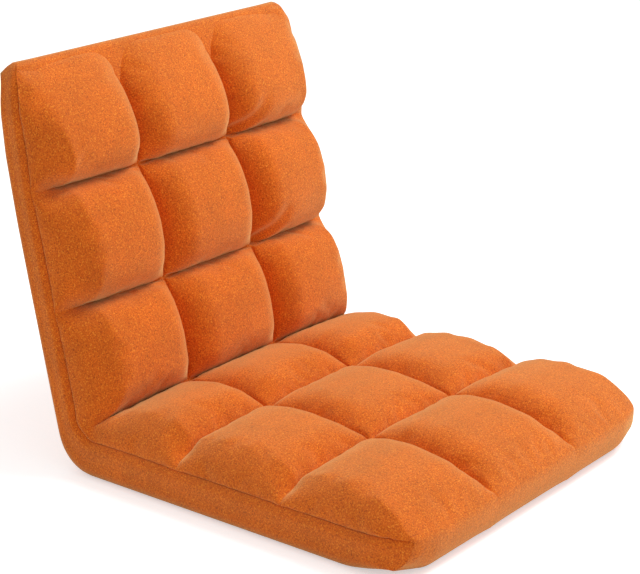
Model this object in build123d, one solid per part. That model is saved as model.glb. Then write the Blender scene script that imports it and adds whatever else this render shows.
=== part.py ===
from build123d import *
from math import acos, atan2, cos, degrees, hypot, radians, sin
import os

# Folding floor chair: two padded leaves, seat and back, joined by a ratchet hinge at each side.
# Each leaf is drawn flat in its own frame: x across, y away from the hinge axis, z towards the
# sitter, with the hinge axis along x through the origin. seat_place and back_place set it in the
# chair. The chair faces -Y, and its origin is on the floor under the middle of the seat.

# ---------------------------------------------------------------- driving dimensions, mm and degrees
# whole chair
chair_width = 520.0        # over the cushions' sides
seat_reach = 462.0         # hinge axis to the front edge
back_reach = 450.0         # hinge axis to the top edge
leaf_under = 50.0          # hinge axis to the seat's underside, and to the back's rear face
open_angle = 102.5         # between the seat and the back as it stands
column_seam = 84.0         # middle of the chair to each lengthwise row of stitches

# hinge travel: the ratchet has fourteen positions
flat_angle = 180.0         # seat to back when the chair lies flat
steps_to_flat = 7          # tooth pitches from the standing position to flat
steps_to_folded = 6        # tooth pitches from the standing position to folded

# quilted top of the seat, heights above the hinge axis
seat_seam_height = -3.5    # side seam, where the quilted panel meets the cover below
seat_row_seams = (136.0, 288.0)
seat_crease_height = 25.0
seat_valley_height = 23.5
seat_front_height = 0.0
seat_crowns = (46.5, 43.5, 40.0)

# quilted front of the back
back_seam_height = -16.0
back_row_seams = (153.5, 296.5)
back_crease_height = 19.0
back_valley_heights = (9.8, 1.4)
back_top_height = -13.0
back_crowns = (45.0, 41.5, 32.0)

# the tufts
crease_angle = 62.0        # seat to the line where the two cushions press together
cushion_gap = 0.3          # between the two cushions at the crease
ridge_inset = 40.0         # outer edge of a tuft's top, in from the side
ridge_drop = 4.5           # outer edge below the crown
edge_valley_drop = 13.5    # a row seam dips this far where it reaches the side
valley_crown = 2.5         # swell left along a row seam
flank_width = 30.0         # from a column seam to where a tuft's top flattens
flank_share = 0.93         # of the crown's height, reached there
flank_bend = (0.33, 0.62)  # a place on the flank, across and up
end_corner = 24.0          # how much narrower the far end is, each side
tuft_overrun = 26.0        # length drawn past the crease, then cut off
shoulder_share = 0.12      # of the side's height that stays upright
bend_inset_share = 0.42    # where the sloped side bulges most, in and up
bend_rise_share = 0.58
least_side = 1.0           # height left at the thin far edge
section_shares = (0, 0.17, 0.5, 0.83, 1)  # along a row, from one row seam to the next
both_ends = (0, 0.78, 1, 0.78, 0)         # how full the row is there
pressed_end = (0.1, 0.55, 1, 0.78, 0)     # against the other cushion
seat_front_end = (0, 0.5, 0.98, 0.52, 0)  # rolling over the front edge
back_top_end = (0, 0.66, 0.93, 0.3, 0)    # rolling over the top edge
straight_sides = (0, 0, 0, 0, 0)          # how much narrower the row is there
end_narrowing = (0, 0, 0, 0.12 * end_corner, end_corner)

# cover, backing cloth
cover_thickness = 2.0
cover_edge_radius = 12.0   # between the underside and the sides
cover_corner_radius = 26.0  # far corners, seen from above
backing_thickness = 1.0
fit_gap = 0.1              # soft piece to the piece it wraps
leaf_start = 0.5           # hinge axis to where the lower cover of each leaf begins
seat_front_lean = 12.0     # underside's front edge behind the front face's top
back_taper_start = 250.0   # the rear face curves forward from here
back_top_under = 32.0      # rear face at the top edge, behind the hinge axis
back_top_round = 12.0
seat_nose_share = 0.2      # bow of the front face
back_turn_share = 0.2      # bow of the top edge
back_bow_share = 0.3       # bow of the rear face
rounding = 0.01            # tolerance when picking edges

# tube frames
tube_radius = 8.0
tube_wall = 1.2
tube_corner = 45.0
tube_from_side = 45.0      # cushion's side to the tube's centre
seat_tube_height = -16.0
back_tube_height = -27.0
seat_tube_start = 67.0
back_tube_start = 57.0
tube_end_margin = 62.0     # far tube to the end of the leaf
cross_bar_radius = 4.0
cross_bar_places = (0.42, 0.74)  # share of the frame's length

# hinge, seen from the side
plate_thickness = 2.0
core_thickness = 4.0       # toothed plate, pawl and tang
side_clearance = 0.2       # core to each case plate
tooth_tip_radius = 17.0
tooth_depth = 2.4
case_radius = 24.5
pin_radius = 5.0
pin_head_radius = 8.0
pin_head_thickness = 2.0
small_pin_radius = 2.5
small_head_radius = 4.5
small_head_thickness = 1.6
case_lobe_radius = 9.0     # case plate round the pawl pin and the tang
hole_clearance = 0.05
tang_rivets = ((43.0, -5.0), (56.0, -10.0))
tang_half_width = 6.0      # where it enters the tube
tang_shoulder = 8.0        # tang round its rivets
tang_neck_lead = 3.0       # tang turns this far before the tube
tang_length = 30.0         # of tang inside the tube
tube_rivet_in = 15.0       # tube's end to its rivet
tube_rivet_radius = 2.0
arm_half_width = 8.0       # toothed plate's arm at the hinge
arm_elbow = (46.0, -23.0)  # its bend towards the back's tube
arm_elbow_radius = 7.0
arm_neck_lead = 5.0
pocket_gap = 0.6           # foam to the hinge

# pawl, seen from the side
pawl_contact_angle = -75.0  # seat to the tooth that the pawl meets
pawl_length = 15.0
pawl_offset = 2.0          # pawl pin outside the tangent line
pawl_boss_radius = 4.3
pawl_toe_radius = 2.0
pawl_toe_lift = 2.4        # toe's centre outside the tooth tips
pawl_flank_gap = 0.14
pawl_tail_length = 8.0
pawl_tail_radius = 2.0
tooth_tip_share = 0.18     # of the pitch that is flat at the tip
tooth_root_share = 0.22    # of the pitch that is flat at the root
tooth_cut_overrun = 1.0    # tooth gap's cut past the tips
pawl_seat_gap = 0.25       # nose to the bottom of the tooth gap when engaged
pawl_lift_gap = 0.35       # nose to the tooth tips when lifted
spring_thickness = 0.5
spring_width = 3.0
spring_gap = 0.15
spring_foot_angle = 215.0  # where the spring meets the tang, round its first rivet
spring_touch_angle = 80.0  # where it meets the pawl's tail

# zip under the seat
zip_place = 46.0           # hinge axis to the zip
zip_from_side = 78.0       # end of the tapes to the side of the cover
zip_slot_half_width = 4.6
zip_tape_width = 12.0
zip_tape_thickness = 0.8
zip_chain_half_width = 2.5
zip_chain_thickness = 2.2
zip_tooth_pitch = 6.0
slider_length = 9.0
slider_half_width = 4.2
slider_plate = 1.0
slider_gap = 0.15
slider_neck = 2.0
slot_margin = 1.5          # past the end of the slider
recess_margin = 2.0        # foam to the zip

# ---------------------------------------------------------------- worked out from them
half_width = chair_width / 2
hinge_y = seat_reach / 2
hinge_x = half_width - tube_from_side
everything = chair_width + seat_reach + back_reach  # wider than the whole chair, for cuts
tooth_pitch = (flat_angle - open_angle) / steps_to_flat
case_inside = core_thickness / 2 + side_clearance
case_outside = case_inside + plate_thickness
pocket_half = case_outside + pin_head_thickness + pocket_gap

side_plane = Plane(origin=(0, 0, 0), x_dir=(0, 1, 0), z_dir=(1, 0, 0))
lean = radians(open_angle - 90)
seat_place = Plane(
    origin=(0, hinge_y, leaf_under), x_dir=(-1, 0, 0), z_dir=(0, 0, 1)
).location
back_place = Plane(
    origin=(0, hinge_y, leaf_under), x_dir=(1, 0, 0), z_dir=(0, -cos(lean), sin(lean))
).location


def polar(radius, angle):
    return (radius * cos(radians(angle)), radius * sin(radians(angle)))


def shifted(place, radius, angle):
    step = polar(radius, angle)
    return (place[0] + step[0], place[1] + step[1])


# pawl, engaged: its nose points at the hinge axis, its pin lies on the tangent
pawl_nose = polar(tooth_tip_radius - tooth_depth + pawl_seat_gap, pawl_contact_angle)
pawl_toe = polar(tooth_tip_radius + pawl_toe_lift, pawl_contact_angle)
pawl_pin = shifted(
    polar(tooth_tip_radius + pawl_offset, pawl_contact_angle), pawl_length, pawl_contact_angle + 90
)
case_discs = (
    ((0, 0), case_radius),
    (pawl_pin, case_lobe_radius),
    (tang_rivets[1], case_lobe_radius),
)


def pawl_lift_angle():
    """Turn about the pawl pin that takes the nose from the tooth gap to just clear of the tips."""
    reach = hypot(pawl_pin[0] - pawl_nose[0], pawl_pin[1] - pawl_nose[1])
    span = hypot(*pawl_pin)

    def angle_at(radius):
        return degrees(acos((reach**2 + span**2 - radius**2) / (2 * reach * span)))

    return angle_at(tooth_tip_radius + pawl_lift_gap) - angle_at(hypot(*pawl_nose))


# zip: cloth tape lies on the cover's inside, chain in the tape's plane, slider round the chain
tape_low = cover_thickness - leaf_under
chain_low = tape_low + (zip_tape_thickness - zip_chain_thickness) / 2
slider_low = chain_low - slider_gap - slider_plate
slider_top = chain_low + zip_chain_thickness + slider_gap + slider_plate
zip_half_length = half_width - zip_from_side
neck_start = zip_half_length + slider_gap
slider_end = neck_start + slider_neck
slot_end = slider_end + slot_margin


def between(first, last, share):
    return first + (last - first) * share


# ---------------------------------------------------------------- tools for side views
def prism(face, low_x, high_x):
    """A side view, drawn as (away from hinge, towards sitter), made solid from low_x to high_x."""
    return Pos(low_x, 0, 0) * extrude(side_plane.location * face, amount=high_x - low_x)


def disc(place, radius):
    return Pos(*place) * Circle(radius)


def bar(start, end, half):
    """A strip from one place to another, with square ends."""
    length = hypot(end[0] - start[0], end[1] - start[1])
    turn = degrees(atan2(end[1] - start[1], end[0] - start[0]))
    return Pos(*start) * Rot(0, 0, turn) * Pos(length / 2, 0) * Rectangle(length, 2 * half)


def belt(*discs):
    """The outline of a belt round some discs, each given as (place, radius)."""
    return make_hull(Sketch([disc(place, radius) for place, radius in discs]).edges())


def bolt(place, radius, half_grip, head_radius, head_thickness):
    """A pin along x with a head at each end."""
    shank = prism(disc(place, radius), -half_grip, half_grip)
    for low in (-half_grip - head_thickness, half_grip):
        shank += prism(disc(place, head_radius), low, low + head_thickness)
    return shank


def far_side(angle, offset=0.0):
    """Everything past a line that leaves the hinge axis at this angle and is moved on by offset."""
    half_plane = Pos(0, everything / 2 + offset) * Rectangle(2 * everything, everything)
    return prism(Rot(0, 0, angle) * half_plane, -chair_width, chair_width)


def seen_from_back(face):
    """A side view drawn in the seat's frame, turned into the back's frame as the chair stands."""
    return Rot(0, 0, open_angle) * mirror(face, about=Plane.XZ)


# ---------------------------------------------------------------- quilted rows
def tuft_section(away, base, seam, crown, ridge, half):
    """Cross-section of a row: flat below, sloped at both sides, three crowns between seams."""
    shoulder = between(base, ridge, shoulder_share)
    top_edge = half - ridge_inset
    swell = ((top_edge + column_seam) / 2, crown)
    bend = (half - bend_inset_share * ridge_inset, between(shoulder, ridge, bend_rise_share))
    flank_end = between(seam, crown, flank_share)
    bend_across, bend_up = flank_bend
    flank_middle = between(seam, flank_end, bend_up)
    right = [
        (half, base),
        (half, shoulder),
        bend,
        (top_edge, ridge),
        swell,
        (column_seam + flank_width, flank_end),
        (column_seam + bend_across * flank_width, flank_middle),
        (column_seam, seam),
        (column_seam - bend_across * flank_width, flank_middle),
        (column_seam - flank_width, flank_end),
    ]
    left = [(-x, z) for x, z in right]
    outline = [Line(left[0], right[0]), ThreePointArc(right[9], (0, crown), left[9])]
    for side in (right, left):
        outline.append(Line(side[0], side[1]))
        for start in (1, 3, 5, 7):
            outline.append(ThreePointArc(*side[start : start + 3]))
    cut = Plane(origin=(0, away, 0), x_dir=(1, 0, 0), z_dir=(0, -1, 0))
    return cut.location * make_face(outline)


def tuft_row(ends, seam_heights, crown, base, fullness, narrowing=straight_sides):
    """One row of three tufts, swelling from the row seam at one end to that at the other."""
    middle_rise = crown - between(*seam_heights, 0.5) - valley_crown
    sections = []
    for share, full, narrow in zip(section_shares, fullness, narrowing):
        seam = between(*seam_heights, share)
        top = seam + valley_crown + middle_rise * full
        ridge = max(between(seam - edge_valley_drop, top - ridge_drop, full), base + least_side)
        away = between(*ends, share)
        sections.append(tuft_section(away, base, seam, top, ridge, half_width - narrow))
    return loft(sections)


def seat_rows():
    rear_end, front_start = seat_row_seams
    valley = seat_valley_height
    rear = tuft_row(
        (-tuft_overrun, rear_end),
        (seat_crease_height, valley),
        seat_crowns[0],
        seat_seam_height,
        pressed_end,
    )
    middle = tuft_row(
        seat_row_seams, (valley, valley), seat_crowns[1], seat_seam_height, both_ends
    )
    front = tuft_row(
        (front_start, seat_reach),
        (valley, seat_front_height),
        seat_crowns[2],
        seat_seam_height,
        seat_front_end,
        end_narrowing,
    )
    return [rear - far_side(crease_angle, -cushion_gap / 2) - seat_hinge_pockets(), middle, front]


def back_rows():
    low_end, top_start = back_row_seams
    low = tuft_row(
        (-tuft_overrun, low_end),
        (back_crease_height, back_valley_heights[0]),
        back_crowns[0],
        back_seam_height,
        pressed_end,
    )
    middle = tuft_row(
        back_row_seams, back_valley_heights, back_crowns[1], back_seam_height, both_ends
    )
    top = tuft_row(
        (top_start, back_reach),
        (back_valley_heights[1], back_top_height),
        back_crowns[2],
        back_seam_height,
        back_top_end,
        end_narrowing,
    )
    below_seam = Pos(0, seat_seam_height - everything / 2) * Rectangle(2 * everything, everything)
    low -= far_side(open_angle - crease_angle, -cushion_gap / 2)
    low -= prism(seen_from_back(below_seam), -chair_width, chair_width)
    return [low - back_hinge_pockets(), middle, top]


# ---------------------------------------------------------------- cover and base foam of each leaf
def seat_profile(inset, top):
    """Side view of the seat below its quilted panel, drawn in by inset, up to the height top."""
    start, reach, under = leaf_start + inset, seat_reach - inset, inset - leaf_under
    seam = seat_seam_height
    foot = (reach - seat_front_lean, under)
    nose = (reach - seat_nose_share * seat_front_lean, between(seam, under, 0.5))
    upper = [(reach, top)] if top > seam else []
    return make_face(
        [
            Polyline((reach, seam), *upper, (start, top), (start, under), foot),
            ThreePointArc(foot, nose, (reach, seam)),
        ]
    )


def back_profile(inset, top):
    """Side view of the back behind its quilted panel, its rear face curving in to the top edge."""
    start, reach, under = leaf_start + inset, back_reach - inset, inset - leaf_under
    seam = back_seam_height
    heel = (reach - back_top_round, inset - back_top_under)
    turn = (reach - back_turn_share * back_top_round, between(seam, heel[1], 0.5))
    taper = (back_taper_start, under)
    bow = (between(taper[0], heel[0], 0.5), between(under, heel[1], back_bow_share))
    upper = [(reach, top)] if top > seam else []
    return make_face(
        [
            Polyline((reach, seam), *upper, (start, top), (start, under), taper),
            ThreePointArc(taper, bow, heel),
            ThreePointArc(heel, turn, (reach, seam)),
        ]
    )


def leaf_block(profile, reach, seam, inset, overrun, edge_end):
    """A profile across the chair, its lower side edges and its far corners rounded."""
    half = half_width - inset
    top = seam + overrun
    block = prism(profile(inset, top), -half, half)

    def is_lower_side(edge):
        middle = edge.center()
        along = leaf_start + inset + rounding < middle.Y < edge_end
        at_side = abs(abs(middle.X) - half) < rounding
        return at_side and along and middle.Z < seam - rounding

    lower_edges = block.edges().filter_by(is_lower_side)
    block = fillet(lower_edges, cover_edge_radius - inset)
    outline = Rectangle(2 * half, 2 * (reach - inset))
    outline = fillet(outline.vertices().sort_by(Axis.Y)[-2:], cover_corner_radius - inset)
    return block & Pos(0, 0, -chair_width / 2) * extrude(outline, amount=chair_width)


def seat_block(inset, overrun=0.0):
    return leaf_block(seat_profile, seat_reach, seat_seam_height, inset, overrun, seat_reach)


def back_block(inset, overrun=0.0):
    edge_end = back_reach - back_top_round
    return leaf_block(back_profile, back_reach, back_seam_height, inset, overrun, edge_end)


def cover_tray(block):
    """The sewn cover below the side seam: a thin tray that holds the base foam."""
    return block(0.0) - block(cover_thickness, cover_thickness)


def filling(block, low, high):
    """What fills the cover between two heights."""
    inside = block(cover_thickness + fit_gap, cover_thickness)
    return inside & Pos(0, 0, (low + high) / 2) * Box(2 * everything, 2 * everything, high - low)


def across(face):
    """A side view's solid at both hinges, as wide as the pocket that each hinge needs."""
    left, right = hinge_x, -hinge_x
    return prism(face, left - pocket_half, left + pocket_half) + prism(
        face, right - pocket_half, right + pocket_half
    )


def case_outline(growth=0.0):
    return belt(*[(place, radius + growth) for place, radius in case_discs])


def seat_hinge_pockets():
    return across(case_outline(pocket_gap) + tang_outline(pocket_gap))


def back_hinge_pockets():
    """Room for the case as the chair stands, and for the toothed plate's arm."""
    case = across(seen_from_back(case_outline(pocket_gap)))
    return case + across(arm_outline(pocket_gap))


def seat_frame_channels():
    return frame_sweep(seat_tube_path(), tube_radius + fit_gap) + tube_rivet_pockets(
        seat_tube_start, seat_tube_height
    )


def back_frame_channels():
    return frame_sweep(back_tube_path(), tube_radius + fit_gap) + tube_rivet_pockets(
        back_tube_start, back_tube_height
    )


def tube_rivet_pockets(start, height):
    place = (start + tube_rivet_in, height)
    half = tube_radius + small_head_thickness + fit_gap
    face = disc(place, small_head_radius + fit_gap)
    return prism(face, hinge_x - half, hinge_x + half) + prism(face, -hinge_x - half, half - hinge_x)


def hinge_wrap():
    """The cover and foam that go round the outside of the fold, between seat and back."""
    wrap = prism(Circle(leaf_under), -half_width, half_width)
    wrap = fillet(wrap.edges().filter_by(GeomType.CIRCLE), cover_edge_radius)
    over_seat = Pos(leaf_start + everything / 2, 0) * Rectangle(everything, 2 * everything)
    over_back = Pos(-cushion_gap, 0) * over_seat
    top_start = seat_seam_height - cushion_gap
    quilted = Pos(0, top_start + everything / 2) * Rectangle(2 * everything, everything)
    for face in (over_seat, seen_from_back(over_back), quilted):
        wrap -= prism(face, -chair_width, chair_width)
    return wrap - seat_hinge_pockets()


# ---------------------------------------------------------------- frames
def u_path(start, reach, height):
    """Centre line of a tube frame: out along one side, across the far end, and back."""
    end = reach - tube_end_margin
    corners = [(hinge_x, start), (hinge_x, end), (-hinge_x, end), (-hinge_x, start)]
    return FilletPolyline(*[(x, away, height) for x, away in corners], radius=tube_corner)


def seat_tube_path():
    return u_path(seat_tube_start, seat_reach, seat_tube_height)


def back_tube_path():
    return u_path(back_tube_start, back_reach, back_tube_height)


def frame_sweep(path, radius):
    start = Plane(origin=path @ 0, z_dir=path % 0)
    return sweep(start.location * Circle(radius), path)


def rivet_hole(start, height, radius):
    hole = disc((start + tube_rivet_in, height), radius)
    return prism(hole, -half_width, half_width)


def frame_tube(path, start, height):
    tube = frame_sweep(path, tube_radius) - frame_sweep(path, tube_radius - tube_wall)
    return tube - rivet_hole(start, height, tube_rivet_radius + hole_clearance)


def cross_bar_solids(start, reach, height, radius):
    """Bars across a frame, as far as its tubes' centre lines."""
    length = reach - tube_end_margin - start
    bars = []
    for share in cross_bar_places:
        place = (start + share * length, height)
        bars.append(prism(disc(place, radius), -hinge_x, hinge_x))
    return bars


def cross_bars(path, start, reach, height):
    tube = frame_sweep(path, tube_radius)
    solids = cross_bar_solids(start, reach, height, cross_bar_radius)
    return [bar_solid - tube for bar_solid in solids]


def cross_bar_channels(start, reach, height):
    first, second = cross_bar_solids(start, reach, height, cross_bar_radius + fit_gap)
    return first + second


# ---------------------------------------------------------------- hinge, centred on x = 0
def case_plate(side):
    """One of the two plates that hold the toothed plate between them."""
    inner, outer = sorted((side * case_inside, side * case_outside))
    face = case_outline() - disc((0, 0), pin_radius + hole_clearance)
    for place in (pawl_pin, *tang_rivets):
        face -= disc(place, small_pin_radius + hole_clearance)
    return prism(face, inner, outer)


def hinge_pin():
    return bolt((0, 0), pin_radius, case_outside, pin_head_radius, pin_head_thickness)


def small_pin(place):
    return bolt(place, small_pin_radius, case_outside, small_head_radius, small_head_thickness)


def tang_outline(growth=0.0):
    """Side view of the flat link from the case to the inside of the seat's tube."""
    elbow = (seat_tube_start - tang_neck_lead, seat_tube_height)
    end = (seat_tube_start + tang_length, seat_tube_height)
    first, second = tang_rivets
    shoulder, half = tang_shoulder + growth, tang_half_width + growth
    face = belt((first, shoulder), (second, shoulder)) + belt((second, shoulder), (elbow, half))
    return face + bar(elbow, end, half)


def seat_tang():
    face = tang_outline()
    for place in tang_rivets:
        face -= disc(place, small_pin_radius + hole_clearance)
    face -= disc((seat_tube_start + tube_rivet_in, seat_tube_height), tube_rivet_radius + hole_clearance)
    return prism(face, -core_thickness / 2, core_thickness / 2)


def arm_outline(growth=0.0):
    """Side view, in the back's frame, of the arm from the hinge to the inside of the back's tube."""
    elbow = (back_tube_start - arm_neck_lead, back_tube_height)
    end = (back_tube_start + tang_length, back_tube_height)
    face = belt(((0, 0), arm_half_width + growth), (arm_elbow, arm_elbow_radius + growth))
    face += belt((arm_elbow, arm_elbow_radius + growth), (elbow, tang_half_width + growth))
    return face + bar(elbow, end, tang_half_width + growth)


def tooth_ring():
    """Ratchet disc, with one tooth gap for each position and one of them at the pawl at rest."""
    root = tooth_tip_radius - tooth_depth
    outside = tooth_tip_radius + tooth_cut_overrun
    root_half = tooth_root_share * tooth_pitch / 2
    spread = (1 - tooth_tip_share) * tooth_pitch / 2
    rest_gap = open_angle - pawl_contact_angle
    ring = Circle(tooth_tip_radius)
    for step in range(-steps_to_folded, steps_to_flat + 1):
        middle = rest_gap + step * tooth_pitch
        corners = [
            polar(root, middle - root_half),
            polar(tooth_tip_radius, middle - spread),
            polar(outside, middle - spread),
            polar(outside, middle + spread),
            polar(tooth_tip_radius, middle + spread),
            polar(root, middle + root_half),
        ]
        ring -= make_face(Polyline(*corners, close=True))
    return ring


def toothed_plate():
    face = tooth_ring() + arm_outline() - disc((0, 0), pin_radius + hole_clearance)
    face -= disc((back_tube_start + tube_rivet_in, back_tube_height), tube_rivet_radius + hole_clearance)
    return prism(face, -core_thickness / 2, core_thickness / 2)


def pawl_tail():
    return shifted(pawl_pin, pawl_tail_length, pawl_contact_angle + 90)


def pawl_engaged():
    """Side view of the pawl with its nose in a tooth gap."""
    root = tooth_tip_radius - tooth_depth
    root_half = radians(tooth_root_share * tooth_pitch / 2) * root
    tip_half = radians((1 - tooth_tip_share) * tooth_pitch / 2) * tooth_tip_radius
    slope = (tip_half - root_half) / tooth_depth

    def nose_half(radius):
        return root_half + slope * (radius - root) - pawl_flank_gap

    low, high = hypot(*pawl_nose), tooth_tip_radius + pawl_toe_lift
    sides = [(low, nose_half(low)), (high, nose_half(high))]
    nose = [(radius, -half) for radius, half in sides] + sides[::-1]
    face = Rot(0, 0, pawl_contact_angle) * make_face(Polyline(*nose, close=True))
    face += belt((pawl_toe, pawl_toe_radius), (pawl_pin, pawl_boss_radius))
    face += belt((pawl_pin, pawl_boss_radius), (pawl_tail(), pawl_tail_radius))
    return face - disc(pawl_pin, small_pin_radius + hole_clearance)


def pawl_lifted():
    """The pawl as the chair is drawn: turned just clear of the teeth."""
    turn = Pos(*pawl_pin) * Rot(0, 0, pawl_lift_angle()) * Pos(-pawl_pin[0], -pawl_pin[1])
    return prism(turn * pawl_engaged(), -core_thickness / 2, core_thickness / 2)


def pawl_spring():
    """Leaf spring from the tang to the pawl's tail."""
    away = spring_gap + spring_thickness / 2
    tail = shifted(pawl_pin, pawl_tail_length, pawl_contact_angle + 90 + pawl_lift_angle())
    foot = shifted(tang_rivets[0], tang_shoulder + away, spring_foot_angle)
    touch = shifted(tail, pawl_tail_radius + away, spring_touch_angle)
    return prism(bar(foot, touch, spring_thickness / 2), -spring_width / 2, spring_width / 2)


def tube_rivet(start, height):
    place = (start + tube_rivet_in, height)
    return bolt(place, tube_rivet_radius, tube_radius, small_head_radius, small_head_thickness)


# ---------------------------------------------------------------- zip under the seat
def brick(low, high):
    """A box from its lowest to its highest corner."""
    middle = [(a + b) / 2 for a, b in zip(low, high)]
    return Pos(*middle) * Box(*[b - a for a, b in zip(low, high)])


def zip_slot():
    low = (-neck_start, zip_place - zip_slot_half_width, -leaf_under - cover_thickness)
    return brick(low, (slot_end, zip_place + zip_slot_half_width, tape_low + rounding))


def zip_recess():
    """Channel in the foam above the zip."""
    half = zip_chain_half_width + zip_tape_width + recess_margin
    low = (-neck_start - recess_margin, zip_place - half, -leaf_under)
    return brick(low, (slot_end, zip_place + half, slider_top + slider_gap))


def zip_tapes():
    tapes = []
    for side in (-1, 1):
        near = zip_chain_half_width + fit_gap
        edges = sorted((zip_place + side * near, zip_place + side * (near + zip_tape_width)))
        low = (-zip_half_length, edges[0], tape_low)
        tapes.append(brick(low, (zip_half_length, edges[1], tape_low + zip_tape_thickness)))
    return tapes


def zip_chain():
    """Interlocked teeth along the middle of the tape."""
    chain_top = chain_low + zip_chain_thickness
    low_side, high_side = zip_place - zip_chain_half_width, zip_place + zip_chain_half_width
    middle = brick(
        (-zip_half_length, low_side, tape_low),
        (zip_half_length, high_side, tape_low + zip_tape_thickness),
    )
    count = int(2 * zip_half_length / zip_tooth_pitch)
    teeth = []
    for index in range(count):
        start = -zip_half_length + index * zip_tooth_pitch
        teeth.append(
            brick((start, low_side, chain_low), (start + zip_tooth_pitch / 2, high_side, chain_top))
        )
    return middle + teeth


def zip_slider():
    """Two plates round the chain, joined by a neck past its end."""
    start, end = slider_end - slider_length, slider_end
    low_side, high_side = zip_place - slider_half_width, zip_place + slider_half_width
    lower = brick((start, low_side, slider_low), (end, high_side, slider_low + slider_plate))
    upper = brick((start, low_side, slider_top - slider_plate), (end, high_side, slider_top))
    neck_half = zip_chain_half_width - slider_gap
    neck = brick(
        (neck_start, zip_place - neck_half, slider_low), (end, zip_place + neck_half, slider_top)
    )
    return lower + upper + neck


# ---------------------------------------------------------------- assembly
def save(node, *solids):
    shape = solids[0] if len(solids) == 1 else Compound(children=list(solids))
    export_step(shape, f"parts/{node}.step")


def at_hinge(side, frame, solid):
    """Sets a hinge piece, drawn round x = 0, at the sitter's left (1) or right (-1) hinge."""
    leaf_x = -side * hinge_x if frame is seat_place else side * hinge_x
    return frame * Pos(leaf_x, 0, 0) * solid


def save_seat():
    bars = (seat_tube_start, seat_reach, seat_tube_height)
    pockets = seat_hinge_pockets()
    cover = cover_tray(seat_block) - pockets - zip_slot()
    foam_top = seat_seam_height - backing_thickness
    foam = filling(seat_block, -leaf_under, foam_top) - pockets - seat_frame_channels()
    foam -= cross_bar_channels(*bars) + zip_recess()
    backing = filling(seat_block, foam_top, seat_seam_height) - pockets
    rear, middle, front = seat_rows()
    path = seat_tube_path()
    pieces = {
        "seat_cover": [cover],
        "seat_foam": [foam],
        "seat_backing": [backing],
        "seat_tufts_rear": [rear],
        "seat_tufts_middle": [middle],
        "seat_tufts_front": [front],
        "hinge_wrap": [hinge_wrap()],
        "seat_tube": [frame_tube(path, seat_tube_start, seat_tube_height)],
        "seat_cross_bars": cross_bars(path, *bars),
        "zip_tape": zip_tapes(),
        "zip_chain": [zip_chain()],
        "zip_slider": [zip_slider()],
    }
    for node, solids in pieces.items():
        save(node, *[seat_place * solid for solid in solids])


def save_back():
    bars = (back_tube_start, back_reach, back_tube_height)
    pockets = back_hinge_pockets()
    cover = cover_tray(back_block) - pockets
    foam_top = back_seam_height - backing_thickness
    foam = filling(back_block, -leaf_under, foam_top) - pockets - back_frame_channels()
    foam -= cross_bar_channels(*bars)
    backing = filling(back_block, foam_top, back_seam_height) - pockets
    low, middle, top = back_rows()
    path = back_tube_path()
    pieces = {
        "back_cover": [cover],
        "back_foam": [foam],
        "back_backing": [backing],
        "back_tufts_low": [low],
        "back_tufts_middle": [middle],
        "back_tufts_top": [top],
        "back_tube": [frame_tube(path, back_tube_start, back_tube_height)],
        "back_cross_bars": cross_bars(path, *bars),
    }
    for node, solids in pieces.items():
        save(node, *[back_place * solid for solid in solids])


def save_hinges():
    tang_rivet_set, seat_rivet_set, back_rivet_set = [], [], []
    for name, side in (("left", 1), ("right", -1)):
        seat_pieces = {
            "case_outer": case_plate(-1),
            "case_inner": case_plate(1),
            "hinge_pin": hinge_pin(),
            "pawl_pin": small_pin(pawl_pin),
            "pawl": pawl_lifted(),
            "pawl_spring": pawl_spring(),
            "seat_tang": seat_tang(),
        }
        for node, solid in seat_pieces.items():
            save(f"{name}_{node}", at_hinge(side, seat_place, solid))
        save(f"{name}_toothed_plate", at_hinge(side, back_place, toothed_plate()))
        tang_rivet_set += [at_hinge(side, seat_place, small_pin(place)) for place in tang_rivets]
        seat_rivet = tube_rivet(seat_tube_start, seat_tube_height)
        seat_rivet_set.append(at_hinge(side, seat_place, seat_rivet))
        back_rivet = tube_rivet(back_tube_start, back_tube_height)
        back_rivet_set.append(at_hinge(side, back_place, back_rivet))
    save("tang_rivets", *tang_rivet_set)
    save("seat_tube_rivets", *seat_rivet_set)
    save("back_tube_rivets", *back_rivet_set)


os.makedirs("parts", exist_ok=True)
save_seat()
save_back()
save_hinges()
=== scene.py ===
from math import cos, pi, radians, sin

import bmesh
import bpy
import numpy as np
from mathutils import Matrix, Vector


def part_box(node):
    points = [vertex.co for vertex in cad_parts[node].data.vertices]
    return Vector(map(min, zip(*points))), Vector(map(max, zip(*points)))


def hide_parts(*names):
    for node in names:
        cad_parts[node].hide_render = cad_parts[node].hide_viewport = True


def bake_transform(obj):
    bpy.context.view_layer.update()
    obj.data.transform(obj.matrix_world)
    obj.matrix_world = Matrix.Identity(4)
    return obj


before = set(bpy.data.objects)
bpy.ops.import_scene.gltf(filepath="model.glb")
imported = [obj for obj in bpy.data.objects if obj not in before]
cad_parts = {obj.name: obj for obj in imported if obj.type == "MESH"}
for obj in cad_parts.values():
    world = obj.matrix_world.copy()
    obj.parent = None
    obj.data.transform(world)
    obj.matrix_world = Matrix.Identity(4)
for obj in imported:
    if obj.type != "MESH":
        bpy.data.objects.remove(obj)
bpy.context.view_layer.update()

# A folding floor chair: a seat and a back of quilted orange cloth over padding, on one ratchet
# hinge line. The cloth is two pieces, a quilted panel over the seat, crease and back, and a plain
# band under and behind them, which meet in a seam along each side.
MM = 0.001


def box_mm(node):
    """Lowest and highest corner of a CAD node, in millimetres."""
    low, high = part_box(node)
    return np.array(low) / MM, np.array(high) / MM


# ---------------------------------------------------------------- sizes in millimetres
pin_low, pin_high = box_mm("left_hinge_pin")
hinge_y = (pin_low[1] + pin_high[1]) / 2
hinge_z = (pin_low[2] + pin_high[2]) / 2
half_width = box_mm("seat_cover")[1][0]
lean = radians(12.5)          # back, away from upright

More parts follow.
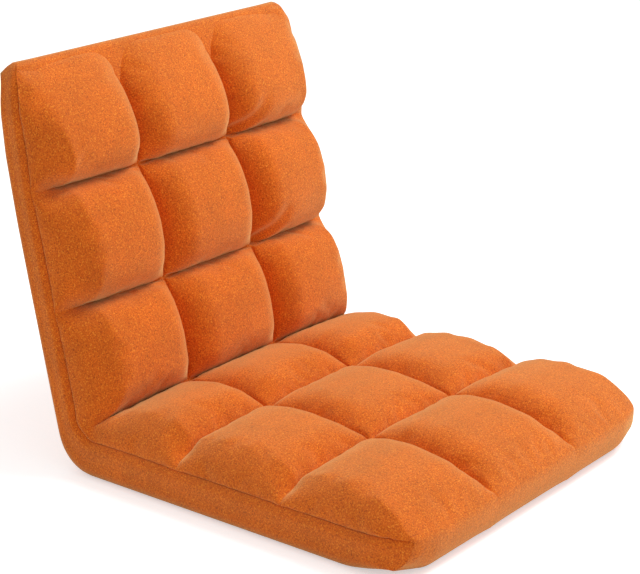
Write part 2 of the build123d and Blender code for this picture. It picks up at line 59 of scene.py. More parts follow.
# Tufts
column_seam = 84.0            # middle to a seam between columns
outer_width = 138.0           # that seam to the outer ridge
flank = 40.0                  # column seam to where a tuft's top flattens
flank_power = 2.2
tuft_dome = 0.08              # of a tuft's height, across its flat top
outer_fall = 2.2              # power of an outer tuft's fall towards its ridge
ridge_power = 4               # of its rise to the ridge itself
side_bend = (0.52, 0.56)      # bulge of the sloped side, across and up
crown_over_ridge = 4.5        # middle of a row above its outer ridge
crown_fade = 26.0             # the crown ends over this below the top edge
face_crown = 0.2              # of the crown, on the seat's front face
face_bulge = 3.0              # of that face, forwards

# Seams
stitch_depth = 6.0            # thread pulls the cloth in along a seam
stitch_reach = 2.6
seam_reach = 15.0             # how far from a row seam the cloth bends into it
seam_fall = 1.5               # power of that bend
seam_tuck = 6.0               # how far the side seam is drawn in
tuck_power = 2
panel_tuck_share = 0.16       # of the panel's side, drawn in with the seam
band_tuck_share = 0.2         # of the band's wall, the same
front_tuck = 14.0             # the tuck starts over this at the seat's front edge
top_tuck = (8.0, 30.0)        # and ends between these below the back's top edge
columns_from = (-4.0, 30.0)   # column seams start over this stretch, from the front face's end
columns_to = (2.0, 18.0)      # and end over this stretch below the top edge
face_held = (-6.0, 20.0)      # the face is held still up to this stretch

# Corners
band_round = 15.0             # bottom edges
corner_lift = 14.0            # front corners, off the floor
corner_lift_start = (195.0, 375.0)
corner_lift_end = (255.0, 452.0)
corner_lift_height = 55.0
corner_square = 200.0         # the corners round off outside this
front_corner = (406.0, 465.0, 37.0)   # along the sides from, to, and how far in
top_corner = (388.0, 453.0, 32.0)
corner_recess = (190.0, 260.0, 3.0)   # front corners set back: across from, to, how far
recess_power = 2.5
recess_end = 455.0

# The upper tufts at the sitter's left crease from their lower inner corners.
crease_from = (90.0, 6.0)     # across, and up from the row seam
crease_to = (134.0, 60.0)
crease_depth = 15.0
crease_fall = 0.6             # power of its fall along the crease
crease_width = 9.0

# Side views from the hinge axis: (away from it, towards the sitter), from the seat's front edge
# back to the crease, and then up the back. Ridges run along a row's outer shoulder, and each of
# their points is (from the middle, away from the hinge axis, towards the sitter).
seat_seam_level = -3.5
back_seam_level = -16.0
crease = (12.0, 27.0)
front_face_ridge = (
    (244, 448, -50), (246, 455, -44), (248, 462, -31), (250, 464, -16), (255, 463, -6),
    (257, 461, -2),
)
front_ridge = (
    (257, 461, -2), (238, 439, 17), (233, 411, 31), (228, 365, 38), (224, 327, 35),
    (223, 301, 26), (222, 290, 17),
)
middle_ridge = (
    (222, 290, 17), (222, 280, 27), (222, 259, 35), (223, 223, 39), (223, 186, 38),
    (222, 149, 30), (221, 137, 18),
)
rear_ridge = (
    (221, 137, 18), (221, 125, 33), (221, 110, 42), (220, 72, 42), (222, 38, 34), (232, 14, 24),
)
low_ridge = (
    (232, 20.4, 18.9), (224, 30, 29), (217, 48, 39), (215, 86, 42), (215, 112, 39),
    (215, 134, 32), (214, 147, 21), (214, 153, -3),
)
mid_ridge = (
    (214, 153, -3), (214, 160, 14), (214, 174, 29), (214, 199, 38), (215, 232, 39),
    (216, 258, 34), (215, 278, 25), (214, 289, 15), (214, 296, -9),
)
top_ridge = (
    (214, 296, -9), (214, 301, 7), (215, 311, 21), (216, 325, 29), (218, 345, 29),
    (222, 363, 25), (226, 388, 15), (230, 420, -3), (232, 440, -16), (234, 446.5, -22),
    (236, 446, -30), (239, 441, -34),
)
# Seams between the columns, at their lowest, one stretch to a row.
front_face_seam = ((446, -50), (457, -45), (465, -31), (467.5, -15), (464, -1))
front_seam = ((464, -1), (440, 10), (400, 19), (350, 23), (310, 23), (288, 22.5))
middle_seam = ((288, 22.5), (250, 23), (212, 24), (174, 23), (136, 22.5))
rear_seam = ((136, 22.5), (104, 24), (70, 26), (36, 26), crease)
low_seam = ((23.8, 17.5), (55, 15.5), (90, 13.5), (125, 10.5), (153.5, 8.5))
mid_seam = ((153.5, 8.5), (190, 6.5), (225, 5), (260, 2.5), (296.5, 0.5))
top_seam = (
    (296.5, 0.5), (330, 0.5), (360, -0.5), (390, -5), (418, -14), (440, -23), (446, -28),
    (441, -34),
)
# The side seam, which the panel and the band share, and where the rows end on it.
base_seat = (
    (446, -50), (452, -44), (458, -32), (460, -18), (461, seat_seam_level),
    (400, seat_seam_level), (2, seat_seam_level),
)
base_back = (
    (17, back_seam_level), (296, back_seam_level), (363, -11), (425, -8), (445, -11),
    (451, -20), (440, -34),
)
seat_row_ends = (461, 290, 137)
back_row_ends = (153, 296)
first_back_row = 4            # after the front face and the seat's three rows
base_corner = np.array([hinge_y + 12, hinge_z + 3])

# The band
far_seat = ((444, -50), (430, -50), (0, -50))
far_back = (
    (0, -50), (184, -50), (256, -49.5), (340, -47), (386, -41), (425, -34), (439, -34),
)
far_corner_radius = 50.0
far_corner_steps = 9
turn_seat = (4, seat_seam_level)      # the side seam turns the corner between these
turn_back = (14, back_seam_level)
zip_recess = 5.2              # depth of the slot that the zip lies in
slot_gap = 0.4
slot_ends = 1.6               # room past the slider and the chain, across
slot_edge = 0.15              # half of the step down into the slot
panel_inset = 1.5             # side seam in from the CAD cover's side
band_inset = 0.5
band_lip = 1.0                # seam in from the band's side

# Mesh
fine_step = 1.3               # next to a seam
coarse_step = 6.5
step_growth = 1.35
path_step = 0.5
path_soften = 9.0
ridge_soften = 5.0
side_shares = (0.05, 0.12, 0.2, 0.3, 0.4, 0.5, 0.6, 0.7, 0.79, 0.87, 0.93, 0.97, 1)
wall_shares = (0.0, 0.02, 0.05, 0.1, 0.16, 0.24, 0.34, 0.46, 0.58)
wall_end = 0.68               # share of the band's depth where its bottom edge starts to round
edge_angles = (0, 15, 30, 45, 60, 75, 90)
under_lines = 60              # lines across the underside
closing_lines = 12            # lines of the unseen side that closes a piece
lid_drop = 0.4                # the band's unseen side, below the panel's
slot_clear_across = 3.0       # no other line this near to the slot's edges
slot_clear_along = 2.5
touching = 0.01


# ---------------------------------------------------------------- side views
def seat_side(points):
    """Side-view places on the seat, as (y, z) rows."""
    away, up = np.array(points, float).T
    return np.stack([hinge_y - away, hinge_z + up], axis=1)


def back_side(points):
    """Side-view places on the back, as (y, z) rows."""
    away, out = np.array(points, float).T
    y = hinge_y + away * sin(lean) - out * cos(lean)
    z = hinge_z + away * cos(lean) + out * sin(lean)
    return np.stack([y, z], axis=1)


def lengths(path):
    """Distance run at each place of a path."""
    return np.concatenate([[0], np.cumsum(np.linalg.norm(np.diff(path, axis=0), axis=1))])


def at_lengths(path, wanted):
    run = lengths(path)
    return np.stack([np.interp(wanted, run, path[:, i]) for i in range(path.shape[1])], axis=1)


def at_shares(path, shares):
    return at_lengths(path, np.asarray(shares) * lengths(path)[-1])


def softened(path, reach):
    """The path in short steps, its corners rounded over reach, its ends kept."""
    total = lengths(path)[-1]
    count = int(total / path_step) + 1
    fine = at_lengths(path, np.linspace(0, total, count))
    width = max(1, int(reach / path_step))
    ends = (2 * fine[0] - fine[width:0:-1], 2 * fine[-1] - fine[-2 : -width - 2 : -1])
    padded = np.concatenate([ends[0], fine, ends[1]])
    kernel = np.hanning(2 * width + 3)[1:-1]
    kernel /= kernel.sum()
    smooth = [np.convolve(padded[:, i], kernel, mode="valid") for i in range(path.shape[1])]
    return np.stack(smooth, axis=1)


def nearest(path, point):
    """Number of the path's place that is nearest to a point."""
    return np.argmin(np.linalg.norm(path - point, axis=1))


def length_near(path, point):
    """How far along the path its nearest place to a point is."""
    return lengths(path)[nearest(path, point)]


def clustered(length, at_start=True, at_end=True):
    """Places from 0 to length, close together next to a seam."""
    steps = [fine_step]
    while sum(steps) < length / 2 or len(steps) < 3:
        steps.append(min(steps[-1] * step_growth, coarse_step))
    near_seam = np.concatenate([[0], np.cumsum(steps)])
    near_seam = near_seam[near_seam < length / 2]
    plain = np.linspace(0, length / 2, int(length / 2 / coarse_step) + 2)[:-1]
    first = near_seam if at_start else plain
    last = near_seam if at_end else plain
    return np.concatenate([first, [length / 2], (length - last)[::-1]])


def smooth_step(value, low, high):
    share = np.clip((value - low) / (high - low), 0, 1)
    return share * share * (3 - 2 * share)


def drawn_in(share, reach):
    """How far the side seam is drawn in at a share of the side, with its reach as a share."""
    return seam_tuck * max(0, 1 - share / reach) ** tuck_power


def base_path():
    """The side seam, from the seat's front edge round the corner and up the back."""
    return softened(np.concatenate([seat_side(base_seat), back_side(base_back)]), path_soften)


def far_path():
    """The band's middle line under the seat, round the corner and up behind the back."""
    corner = [
        (hinge_y + far_corner_radius * cos(a), hinge_z + far_corner_radius * sin(a))
        for a in np.linspace(-pi / 2, -lean, far_corner_steps)[1:-1]
    ]
    whole = np.concatenate([seat_side(far_seat), np.array(corner), back_side(far_back)])
    return softened(whole, path_soften)


# ---------------------------------------------------------------- the quilted panel
def with_side(points, side):
    """Ridge places as (x, y, z) rows."""
    points = np.array(points, float)
    return np.column_stack([points[:, 0], side(points[:, 1:])])


def panel_rows():
    """Each row: its ridge, its column seam, the side seam's place at its end, and whether a seam
    crosses the chair at its start and end. The first is the seat's front face."""
    seat_end = [seat_side([(s, seat_seam_level)])[0] for s in seat_row_ends]
    back_end = [back_side([(u, back_seam_level)])[0] for u in back_row_ends]
    return (
        (with_side(front_face_ridge, seat_side), seat_side(front_face_seam), seat_end[0], 0, 0),
        (with_side(front_ridge, seat_side), seat_side(front_seam), seat_end[1], 0, 1),
        (with_side(middle_ridge, seat_side), seat_side(middle_seam), seat_end[2], 1, 1),
        (with_side(rear_ridge, seat_side), seat_side(rear_seam), base_corner, 1, 1),
        (with_side(low_ridge, back_side), back_side(low_seam), back_end[0], 1, 1),
        (with_side(mid_ridge, back_side), back_side(mid_seam), back_end[1], 1, 1),
        (with_side(top_ridge, back_side), back_side(top_seam), None, 1, 0),
    )


def fade(distance):
    return np.exp(-((distance / seam_reach) ** seam_fall))


def panel_stations():
    """Along the chair: side seam, crown, ridge and column seam, distance to the nearest row seam,
    distance run, how much of the side seam's tuck there is and the height over the row seam below
    on the upper back. Last comes the distance run where the front face ends."""
    base = base_path()
    total = lengths(base)[-1]
    parts = []
    start = 0.0
    run = 0.0
    for index, (ridge, seam, end_place, seam_first, seam_last) in enumerate(panel_rows()):
        is_face = index == 0
        is_top = end_place is None
        stop = total if is_top else length_near(base, end_place)
        ridge = softened(ridge, ridge_soften)
        seam = softened(seam, ridge_soften)
        length = lengths(ridge)[-1]
        places = clustered(length, at_start=bool(seam_first), at_end=bool(seam_last))
        if not is_face:
            places = places[1:]
        shares = places / length
        side = at_shares(ridge, shares)
        low = at_shares(seam, shares)
        first = fade(places) if seam_first or index == 1 else 0 * places
        last = fade(length - places) if seam_last or is_face else 0 * places
        rise = crown_over_ridge * (1 - first) * (1 - last) * (face_crown if is_face else 1)
        if is_top:
            rise = rise * smooth_step(length - places, 0, crown_fade)
        if index < first_back_row:
            forward = -face_bulge * shares * (1 - shares) * 4 if is_face else 0 * rise
            raise_by = np.column_stack([forward, rise])
        else:
            raise_by = np.column_stack([-cos(lean) * rise, sin(lean) * rise])
        inner = side[:, 1:] + raise_by
        inner += (
            first[:, None] * (seam[0] - ridge[0, 1:]) + last[:, None] * (seam[-1] - ridge[-1, 1:])
        )
        near = np.minimum(
            places if seam_first else np.full_like(places, length),
            length - places if seam_last else np.full_like(places, length),
        )
        along = at_lengths(base, start + shares * (stop - start))
        tuck = np.ones_like(places)
        if is_face:
            tuck = smooth_step(places, length - front_tuck, length)
            face_end = length
        if is_top:
            tuck = smooth_step(length - places, *top_tuck)
        above = places if index > first_back_row else np.full_like(places, np.inf)
        parts.append((along, inner, side, low, near, run + places, tuck, above))
        start = stop
        run += length
    return [np.concatenate(part) for part in zip(*parts)] + [face_end]


def section_half():
    """Lines of the panel from the middle to one side seam, as (kind, place): across the middle
    column in millimetres, across an outer column as a share of its width, and down the side."""
    lines = [("middle", x) for x in clustered(column_seam, at_start=False)]
    lines += [("outer", d / outer_width) for d in clustered(outer_width, at_end=False)[1:]]
    lines += [("side", share) for share in side_shares]
    return lines


def flank_rise(distance):
    return 1 - (1 - np.clip(distance / flank, 0, 1)) ** flank_power


def stitch_pull(distance):
    return stitch_depth * np.exp(-((distance / stitch_reach) ** 2))


def corner_crease(x, above):
    """Depth of the crease in an upper tuft of the back."""
    start, end = np.array(crease_from), np.array(crease_to)
    way = end - start
    upper = np.isfinite(above)
    place = np.column_stack([x, np.where(upper, above, 0)]) - start
    share = np.clip(place @ way / (way @ way), 0, 1)
    off = np.linalg.norm(place - share[:, None] * way, axis=1)
    depth = crease_depth * (1 - share) ** crease_fall * np.exp(-((off / crease_width) ** 2))
    return np.where(upper, depth, 0)


def panel_mesh():
    """Places, hold weights and cloth measure of the panel: quilted outside, flat inside."""
    base, inner, side, low, near, run, tuck, above, face_run = panel_stations()
    half_rows = []
    half_dents = []
    half_hold = []
    edge = half_width - panel_inset
    ridge_x = side[:, 0]
    at_seam = (near < touching).astype(float)
    inward = base - inner
    inward = inward / np.maximum(np.linalg.norm(inward, axis=1, keepdims=True), 1.0)
    columns = smooth_step(run, face_run + columns_from[0], face_run + columns_from[1])
    columns = columns * smooth_step(run[-1] - run, *columns_to)
    row_pull = stitch_pull(near)
    face_hold = 1 - smooth_step(run, face_run + face_held[0], face_run + face_held[1])
    for kind, value in section_half():
        dent = np.zeros_like(near)
        if kind == "middle":
            x = np.full(len(base), value)
            dome = tuft_dome * (1 - (value / column_seam) ** 2)
            rise = (1 - tuft_dome) * flank_rise(column_seam - value) + dome
            place = low + rise * (inner - low)
            pull = np.maximum(row_pull, columns * stitch_pull(column_seam - value))
            place = place + pull[:, None] * inward
            held = 1.0 if value == column_seam else at_seam
        elif kind == "outer":
            x = column_seam + value * (ridge_x - column_seam)
            dome = tuft_dome * (1 - (2 * value - 1) ** 2)
            rise = (1 - tuft_dome) * flank_rise(value * outer_width) + dome
            rise = rise + (1 - rise) * value**ridge_power
            top = inner + value**outer_fall * (side[:, 1:] - inner)
            place = low + rise * (top - low)
            pull = np.maximum(row_pull, columns * stitch_pull(value * outer_width))
            place = place + pull[:, None] * inward
            dent = corner_crease(x, above)
            held = at_seam
        else:
            across, up = side_bend
            rest, bend, end = (1 - value) ** 2, 2 * value * (1 - value), value**2
            x = rest * ridge_x + bend * (ridge_x + across * (edge - ridge_x)) + end * edge
            x = x - tuck * drawn_in(1 - value, panel_tuck_share)
            place = base + (rest + bend * up) * (side[:, 1:] - base)
            place = place + (row_pull * rest)[:, None] * inward
            held = np.maximum(at_seam * rest, float(value == 1))
        half_rows.append(np.column_stack([x, place]))
        half_dents.append(np.column_stack([0 * x, dent[:, None] * inward]))
        half_hold.append(np.maximum(held, face_hold))
    mirror = np.array([-1.0, 1.0, 1.0])
    rows = [row * mirror for row in half_rows[:0:-1]]
    rows += [row + dent for row, dent in zip(half_rows, half_dents)]
    hold = half_hold[:0:-1] + half_hold
    for share in np.linspace(1, -1, closing_lines + 2)[1:-1]:
        rows.append(np.column_stack([share * half_rows[-1][:, 0], base]))
        hold.append(np.ones(len(base)))
    places = np.array(rows).transpose(1, 0, 2)
    hold = np.array(hold).T
    hold[0], hold[-1] = 1, 1
    return places, hold.ravel(), cloth_measure(places, run)


def cloth_measure(places, run):
    """Distance round a section with full tufts, and along the chair, for the weave."""
    steps = np.linalg.norm(np.diff(places[len(places) // 3], axis=0), axis=1)
    measure = np.zeros_like(places)
    measure[..., 0] = np.concatenate([[0], np.cumsum(steps)])[None, :]
    measure[..., 1] = run[:, None]
    return measure


# ---------------------------------------------------------------- the band
def clear_of(lines, stops, room):
    """The lines further than room from every stop, and the stops."""
    kept = lines[[min(abs(line - stop) for stop in stops) > room for line in lines]]
    return np.sort(np.concatenate([kept, stops]))


def band_stations(base, far, slot_y):
    """Along the chair: distances run on the far path and on the side seam, with a step at each
    end of the slot."""
    stops = []
    for y in slot_y:
        flat = nearest(far, (y, 0.0))
        exact = lengths(far)[flat] + y - far[flat, 0]
        stops += [exact - slot_edge, exact + slot_edge]
    far_total = lengths(far)[-1]
    far_run = clear_of(np.arange(0, far_total + 1, coarse_step), stops, slot_clear_along)
    far_run[-1] = far_total
    far_marks = (
        0,
        length_near(far, seat_side(far_seat[-1:])[0]),
        length_near(far, back_side(far_back[:1])[0]),
        far_total,
    )
    base_marks = (
        0,
        length_near(base, seat_side([turn_seat])[0]),
        length_near(base, back_side([turn_back])[0]),
        lengths(base)[-1],
    )
    return far_run, np.interp(far_run, far_marks, base_marks)


def band_ring(slot_x):
    """Lines round the band as (x with the seam drawn in, x without, share of the depth)."""
    edge = half_width - band_inset
    half = []
    for share in wall_shares:
        x = edge - band_lip
        half.append((x - drawn_in(share, band_tuck_share), x, share))
    for angle in np.radians(edge_angles):
        x = edge - band_round * (1 - cos(angle))
        half.append((x, x, wall_end + (1 - wall_end) * sin(angle)))
    last = half[-1][0]
    stops = [x + shift for x in slot_x for shift in (-slot_edge, slot_edge)]
    under = clear_of(np.linspace(last, -last, under_lines + 2)[1:-1], stops, slot_clear_across)
    mirrored = [(-a, -b, share) for a, b, share in half[::-1]]
    return half + [(x, x, 1.0) for x in under[::-1]] + mirrored


def band_mesh():
    """The plain band: walls below the side seams, the seat's underside and the back's rear."""
    base, far = base_path(), far_path()
    chain_high = box_mm("zip_chain")[1]
    slider_low, slider_high = box_mm("zip_slider")
    slot_y = (slider_low[1] - slot_gap, slider_high[1] + slot_gap)
    slot_x = (slider_low[0] - slot_ends, chain_high[0] + slot_ends)
    far_run, base_run = band_stations(base, far, slot_y)
    far_line = at_lengths(far, far_run)
    base_line = at_lengths(base, base_run)
    tip = length_near(base, seat_side([(seat_row_ends[0], seat_seam_level)])[0])
    tuck = smooth_step(base_run, tip - front_tuck, tip)
    tuck = tuck * smooth_step(lengths(base)[-1] - base_run, *top_tuck)
    rows = []
    for drawn, plain, share in band_ring(slot_x):
        place = base_line + share * (far_line - base_line)
        rows.append(np.column_stack([plain + tuck * (drawn - plain), place]))
    for share in np.linspace(-1, 1, closing_lines + 2)[1:-1]:
        rows.append(np.column_stack([share * rows[0][:, 0], base_line - (0.0, lid_drop)]))
    places = np.array(rows).transpose(1, 0, 2)
    x, y, z = places[..., 0], places[..., 1], places[..., 2]
    in_slot = (x > slot_x[0]) & (x < slot_x[1]) & (y > slot_y[0]) & (y < slot_y[1]) & (z < 1)
    z[in_slot] = zip_recess
    return places, cloth_measure(places, far_run)


# ---------------------------------------------------------------- meshes
def rounded(places):
    """Rounds the corners off in plan and raises the low front ones off the floor."""
    x, y, z = places[..., 0], places[..., 1], places[..., 2]
    away = hinge_y - y
    amount = smooth_step(np.abs(x), corner_lift_start[0], corner_lift_end[0])
    amount = amount * smooth_step(away, corner_lift_start[1], corner_lift_end[1])
    amount = amount * np.clip(1 - z / corner_lift_height, 0, 1)
    moved = places.copy()
    moved[..., 2] += corner_lift * amount
    start, end, recess = corner_recess
    beside = np.clip((np.abs(x) - start) / (end - start), 0, 1)
    at_front = smooth_step(away, front_corner[0], recess_end)
    moved[..., 1] += recess * beside**recess_power * at_front
    up_back = (y - hinge_y) * sin(lean) + (z - hinge_z) * cos(lean)
    for reach, (start, end, inset) in ((away, front_corner), (up_back, top_corner)):
        share = np.clip((reach - start) / (end - start), 0, 1)
        narrow = inset * (1 - np.sqrt(1 - share**2))
        outside = np.clip(np.abs(moved[..., 0]) - corner_square, 0, None)
        scale = 1 - narrow / (half_width - corner_square)
        inside = np.minimum(np.abs(moved[..., 0]), corner_square)
        moved[..., 0] = np.sign(moved[..., 0]) * (inside + outside * scale)
    return moved


def closed_mesh(name, places, measure):
    """A ring of places at each station joined into one closed form, with its cloth measure."""
    count, around, _ = places.shape
    index = np.arange(count * around).reshape(count, around)
    faces = []
    for i in range(count - 1):
        for j in range(around):
            k = (j + 1) % around
            faces.append((index[i, j], index[i, k], index[i + 1, k], index[i + 1, j]))
    faces += [index[0, ::-1], index[-1]]
    mesh = bpy.data.meshes.new(name)
    points = (places.reshape(-1, 3) * MM).tolist()
    mesh.from_pydata(points, [], [tuple(map(int, face)) for face in faces])
    weave = mesh.attributes.new("cloth", "FLOAT_VECTOR", "POINT")
    weave.data.foreach_set("vector", (measure.reshape(-1, 3) * MM).ravel().astype(np.float32))
    mesh.validate()
    turn_outward(mesh)
    piece = bpy.data.objects.new(name, mesh)
    bpy.context.scene.collection.objects.link(piece)
    return piece


def turn_outward(mesh):
    """Turns the faces outwards, where they enclose a volume below zero."""
    co = np.array([v.co for v in mesh.vertices])
    volume = 0.0
    for face in mesh.polygons:
        ids = list(face.vertices)
        for a, b in zip(ids[1:-1], ids[2:]):
            volume += np.dot(co[ids[0]], np.cross(co[a], co[b]))
    if volume < 0:
        mesh.flip_normals()


def split_ends(piece):
    """Splits the long end faces, so that subdivision keeps them flat."""
    work = bmesh.new()
    work.from_mesh(piece.data)
    bmesh.ops.triangulate(work, faces=[face for face in work.faces if len(face.verts) > 4])
    work.to_mesh(piece.data)
    work.free()


last_frame = 20


def settle(piece, hold, pressure, cap, spare):
    """Lets the cloth swell and crease between its seams, for as far as cap."""
    scene = bpy.context.scene
    group = piece.vertex_groups.new(name="held")
    for index, weight in enumerate(hold):
        if weight > 0:
            group.add([index], float(weight), "REPLACE")
    modifier = piece.modifiers.new("Cloth", "CLOTH")
    values = modifier.settings
    values.quality = 6
    values.mass = 0.25
    values.tension_stiffness = 12
    values.compression_stiffness = 12
    values.shear_stiffness = 4
    values.bending_stiffness = 0.25
    values.tension_damping = 6
    values.compression_damping = 6
    values.shear_damping = 6
    values.vertex_group_mass = "held"
    values.use_pressure = True
    values.uniform_pressure_force = pressure
    values.shrink_min = -spare
    values.effector_weights.gravity = 0
    modifier.collision_settings.use_collision = False
    modifier.point_cache.frame_start = 1
    modifier.point_cache.frame_end = last_frame
    start = np.array([v.co for v in piece.data.vertices])
    for number in range(1, last_frame + 1):
        scene.frame_set(number)
    shown = piece.evaluated_get(bpy.context.evaluated_depsgraph_get())
    end = np.array([v.co for v in shown.data.vertices])
    piece.modifiers.remove(modifier)
    scene.frame_set(1)
    move = end - start
    far = np.linalg.norm(move, axis=1, keepdims=True)
    share = cap * np.tanh(far / cap) / np.maximum(far, 1e-9)
    piece.data.vertices.foreach_set("co", (start + move * share).ravel())
    piece.data.update()


def subdivided(piece, levels):
    """Applies a subdivision surface to the mesh."""
    modifier = piece.modifiers.new("Subdivision", "SUBSURF")
    modifier.levels = levels
    modifier.render_levels = levels
    shown = piece.evaluated_get(bpy.context.evaluated_depsgraph_get())
    mesh = bpy.data.meshes.new_from_object(shown)
    piece.modifiers.remove(modifier)
    piece.data = mesh


# ---------------------------------------------------------------- materials
def new_material(name):
    material = bpy.data.materials.new(name)
    material.use_nodes = True
    tree = material.node_tree
    return material, tree, tree.nodes["Principled BSDF"]


def rgb(red, green, blue):
    """A colour written as 0 to 255 screen values."""
    screen = [value / 255 for value in (red, green, blue)]
    linear = [c / 12.92 if c <= 0.04045 else ((c + 0.055) / 1.055) ** 2.4 for c in screen]
    return (*linear, 1.0)


def grey(value):
    """A plain value, as a colour."""
    return (value, value, value, 1.0)


def feed(tree, socket, value):
    """Links another node's output to a socket, or sets a plain value on it."""
    if isinstance(value, bpy.types.NodeSocket):
        tree.links.new(value, socket)
    else:
        socket.default_value = value


def node(tree, kind, **inputs):
    made = tree.nodes.new(kind)
    for key, value in inputs.items():
        feed(tree, made.inputs[key.replace("_", " ")], value)
    return made


def object_place(tree):
    return tree.nodes.new("ShaderNodeTexCoord").outputs["Object"]


def stretched(tree, source, scale):
    return node(tree, "ShaderNodeMapping", Vector=source, Scale=scale).outputs["Vector"]


def noise(tree, place, scale, detail, roughness):
    made = node(
        tree, "ShaderNodeTexNoise", Vector=place, Scale=scale, Detail=detail, Roughness=roughness
    )
    return made.outputs["Fac"]


def ramp(tree, value, *stops):
    made = node(tree, "ShaderNodeValToRGB", Fac=value)
    elements = made.color_ramp.elements
    while len(elements) < len(stops):
        elements.new(0.5)
    for element, (place, colour) in zip(elements, stops):
        element.position = place
        element.color = colour
    return made.outputs["Color"]


def mix(tree, first, second, amount, kind="MIX"):
    made = tree.nodes.new("ShaderNodeMix")
    made.data_type = "RGBA"
    made.blend_type = kind
    factor, colour_a, colour_b = made.inputs[0], made.inputs[6], made.inputs[7]
    for socket, value in ((colour_a, first), (colour_b, second), (factor, amount)):
        feed(tree, socket, value)
    return made.outputs[2]


def math_node(tree, kind, first, second):
    made = tree.nodes.new("ShaderNodeMath")
    made.operation = kind
    for socket, value in zip(made.inputs, (first, second)):
        feed(tree, socket, value)
    return made.outputs[0]


def bump(tree, height, distance, strength, below=None):
    made = node(tree, "ShaderNodeBump", Height=height, Strength=strength, Distance=distance)
    if below is not None:
        feed(tree, made.inputs["Normal"], below)
    return made.outputs["Normal"]


def dress(tree, shader, **inputs):
    """Gives the shader's sockets their values or links."""
    for key, value in inputs.items():
        feed(tree, shader.inputs[key.replace("_", " ")], value)


rib_radian = 0.0013           # metres of cloth to one radian of the soft ribs


def heathered_cloth(name):
    """Brushed orange flannel: flecks of four oranges, soft ribs both ways and a short nap."""
    material, tree, shader = new_material(name)
    attribute = tree.nodes.new("ShaderNodeAttribute")
    attribute.attribute_name = "cloth"
    place = object_place(tree)
    warp = noise(tree, stretched(tree, place, (1.0, 0.4, 0.4)), 1150, 3, 0.6)
    weft = noise(tree, stretched(tree, place, (0.4, 1.0, 1.0)), 1050, 3, 0.6)
    yarns = mix(tree, mix(tree, warp, weft, 0.5), noise(tree, place, 560, 2, 0.6), 0.4)
    flecks = ramp(
        tree,
        yarns,
        (0.38, rgb(164, 56, 2)),
        (0.46, rgb(214, 91, 8)),
        (0.54, rgb(231, 107, 13)),
        (0.63, rgb(252, 158, 50)),
    )
    patches = noise(tree, place, 26, 3, 0.6)
    cloudy = ramp(tree, patches, (0.3, rgb(236, 236, 236)), (0.7, rgb(255, 255, 255)))
    ribs = []
    for direction in "XY":
        wave = node(
            tree,
            "ShaderNodeTexWave",
            Vector=attribute.outputs["Vector"],
            Scale=1 / (20 * rib_radian),
            Distortion=1.2,
            Detail=1.5,
        )
        wave.bands_direction = direction
        ribs.append(wave.outputs["Fac"])
    woven = bump(tree, math_node(tree, "MULTIPLY", *ribs), 0.00035, 0.22)
    nap = bump(tree, noise(tree, place, 900, 4, 0.7), 0.0006, 0.45, woven)
    dress(
        tree,
        shader,
        Base_Color=mix(tree, flecks, cloudy, 1.0, "MULTIPLY"),
        Normal=nap,
        Roughness=0.92,
        Specular_IOR_Level=0.15,
        Sheen_Weight=0.62,
        Sheen_Roughness=0.55,
        Sheen_Tint=rgb(255, 236, 165),
    )
    return material


def worn_metal(name, colour, dark, roughness, metallic, grain=140):
    """Plated or painted metal with a fine grain and slightly uneven gloss."""
    material, tree, shader = new_material(name)
    place = object_place(tree)
    patches = noise(tree, place, grain, 5, 0.6)
    scratches = noise(tree, stretched(tree, place, (0.15, 1.0, 1.0)), grain * 14, 2, 0.5)
    smooth, rough = grey(roughness - 0.08), grey(roughness + 0.1)
    dress(
        tree,
        shader,
        Base_Color=ramp(tree, patches, (0.35, dark), (0.65, colour)),
        Roughness=ramp(tree, scratches, (0.3, smooth), (0.7, rough)),
        Normal=bump(tree, scratches, 0.00005, 0.3),
        Metallic=metallic,
    )
    return material


def zip_cloth(name):
    """Woven polyester tape."""
    material, tree, shader = new_material(name)
    wave = node(
        tree, "ShaderNodeTexWave", Vector=object_place(tree), Scale=480, Distortion=0.4
    ).outputs["Fac"]
    dress(
        tree,
        shader,
        Base_Color=ramp(tree, wave, (0.2, rgb(176, 78, 30)), (0.8, rgb(214, 108, 52))),
        Normal=bump(tree, wave, 0.0001, 0.5),
        Roughness=0.8,
    )
    return material


def seen_directly(tree):
    """1 to the camera, in a mirror and through glass, and 0 to light that falls on the chair."""
    rays = tree.nodes.new("ShaderNodeLightPath").outputs
    seen = math_node(tree, "MAXIMUM", rays["Is Camera Ray"], rays["Is Glossy Ray"])
    return math_node(tree, "MAXIMUM", seen, rays["Is Transmission Ray"])


# ---------------------------------------------------------------- camera
azimuth, elevation, roll = radians(-52.446), radians(18.952), radians(0.330)
camera_distance = 2.4097
look_at = Vector((-0.0286, 0.0600, 0.2159))
toward_camera = Vector(
    (sin(azimuth) * cos(elevation), -cos(azimuth) * cos(elevation), sin(elevation))
)
level = Vector((0, 0, 1)).cross(toward_camera).normalized()
upright = toward_camera.cross(level)
right = cos(roll) * level + sin(roll) * upright
up = cos(roll) * upright - sin(roll) * level

camera_data = bpy.data.cameras.new("photo_camera")
camera_data.lens = 113.81
camera_data.sensor_width = 36.0
camera_data.clip_end = 50.0
camera = bpy.data.objects.new("photo_camera", camera_data)
bpy.context.scene.collection.objects.link(camera)
turn = Matrix((right, up, toward_camera)).transposed().to_4x4()
camera.matrix_world = Matrix.Translation(look_at + camera_distance * toward_camera) @ turn
bpy.context.scene.camera = camera

# ---------------------------------------------------------------- the two cloth pieces
swell_pressure = 4.0
swell_cap = 0.005             # no point moves further than this, in metres
spare_cloth = 0.013           # as a share of its size

places, hold, measure = panel_mesh()
panel = closed_mesh("quilted_panel", rounded(places), measure)
settle(panel, hold, swell_pressure, swell_cap, spare_cloth)
split_ends(panel)
subdivided(panel, 1)

places, measure = band_mesh()
band = closed_mesh("plain_band", rounded(places), measure)
split_ends(band)

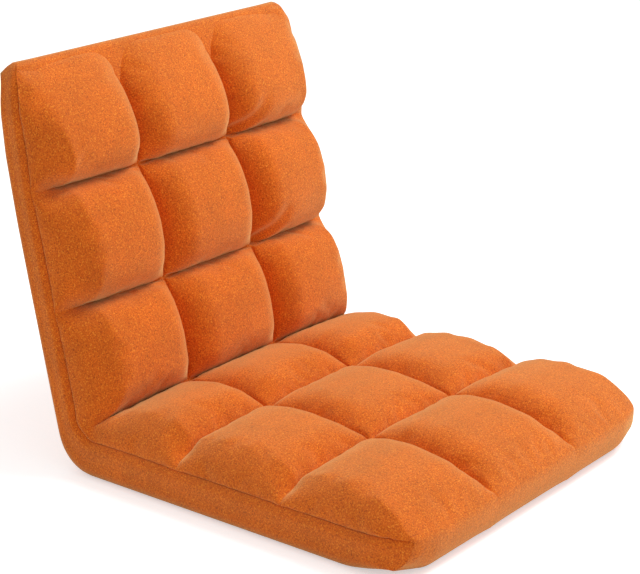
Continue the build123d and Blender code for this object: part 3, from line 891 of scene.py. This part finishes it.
orange = heathered_cloth("heathered orange cloth")
for piece in (panel, band):
    piece.data.materials.clear()
    piece.data.materials.append(orange)
    piece.data.shade_smooth()
    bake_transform(piece)
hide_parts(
    "seat_tufts_rear",
    "seat_tufts_middle",
    "seat_tufts_front",
    "back_tufts_low",
    "back_tufts_middle",
    "back_tufts_top",
)
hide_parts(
    "seat_cover",
    "back_cover",
    "hinge_wrap",
    "seat_foam",
    "back_foam",
    "seat_backing",
    "back_backing",
)

# ---------------------------------------------------------------- finishes of the steel and the zip
painted = worn_metal("black stoved paint", rgb(44, 44, 46), rgb(30, 30, 32), 0.45, 0.0)
zinc = worn_metal("bright zinc plate", rgb(190, 190, 186), rgb(150, 152, 154), 0.35, 1.0, 220)
spring = worn_metal("spring steel", rgb(120, 122, 128), rgb(84, 86, 92), 0.3, 1.0, 300)
nickel = worn_metal("nickel plate", rgb(205, 200, 190), rgb(170, 166, 158), 0.25, 1.0, 400)
teeth = worn_metal("moulded teeth", rgb(214, 108, 52), rgb(190, 90, 40), 0.4, 0.0, 500)
tape = zip_cloth("zip tape")
finishes = (
    ("zip_slider", nickel),
    ("zip_chain", teeth),
    ("zip_tape", tape),
    ("spring", spring),
    ("tube_rivets", zinc),
    ("tube", painted),
    ("bars", painted),
)
for name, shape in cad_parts.items():
    finish = next((made for word, made in finishes if word in name), zinc)
    shape.data.materials.clear()
    shape.data.materials.append(finish)

# ---------------------------------------------------------------- floor, light and world
floor_reach = 8.0
floor_level = -0.0005
floor_corners = ((-1, -1), (1, -1), (1, 1), (-1, 1))
floor_mesh = bpy.data.meshes.new("floor")
floor_mesh.from_pydata(
    [(x * floor_reach, y * floor_reach, floor_level) for x, y in floor_corners], [], [(0, 1, 2, 3)]
)
floor = bpy.data.objects.new("floor", floor_mesh)
bpy.context.scene.collection.objects.link(floor)
floor_material, floor_tree, floor_shader = new_material("white floor")
dress(
    floor_tree,
    floor_shader,
    Base_Color=grey(0.86),
    Roughness=1.0,
    Specular_IOR_Level=0.0,
    Emission_Strength=math_node(floor_tree, "MULTIPLY", seen_directly(floor_tree), 0.5),
    Emission_Color=grey(1.0),
)
floor.data.materials.append(floor_material)

ambient = 0.62                # the world's light on the chair, where 1 is white
world = bpy.data.worlds.new("studio")
bpy.context.scene.world = world
world.use_nodes = True
sky = world.node_tree
to_white = math_node(sky, "MULTIPLY", seen_directly(sky), 1 - ambient)
dress(
    sky,
    sky.nodes["Background"],
    Color=grey(1.0),
    Strength=math_node(sky, "ADD", ambient, to_white),
)


def lamp(name, place, size, power):
    """A square lamp aimed at the chair."""
    data = bpy.data.lights.new(name, "AREA")
    data.size = size
    data.energy = power
    made = bpy.data.objects.new(name, data)
    bpy.context.scene.collection.objects.link(made)
    made.location = place
    made.rotation_euler = (look_at - place).to_track_quat("-Z", "Y").to_euler()


lamp("key", look_at + Vector((1.5, -0.95, 2.6)), 1.3, 66)
lamp("fill", look_at + Vector((-1.6, -2.2, 1.2)), 2.0, 2)

bpy.context.scene.view_settings.view_transform = "Standard"

bpy.context.view_layer.update()
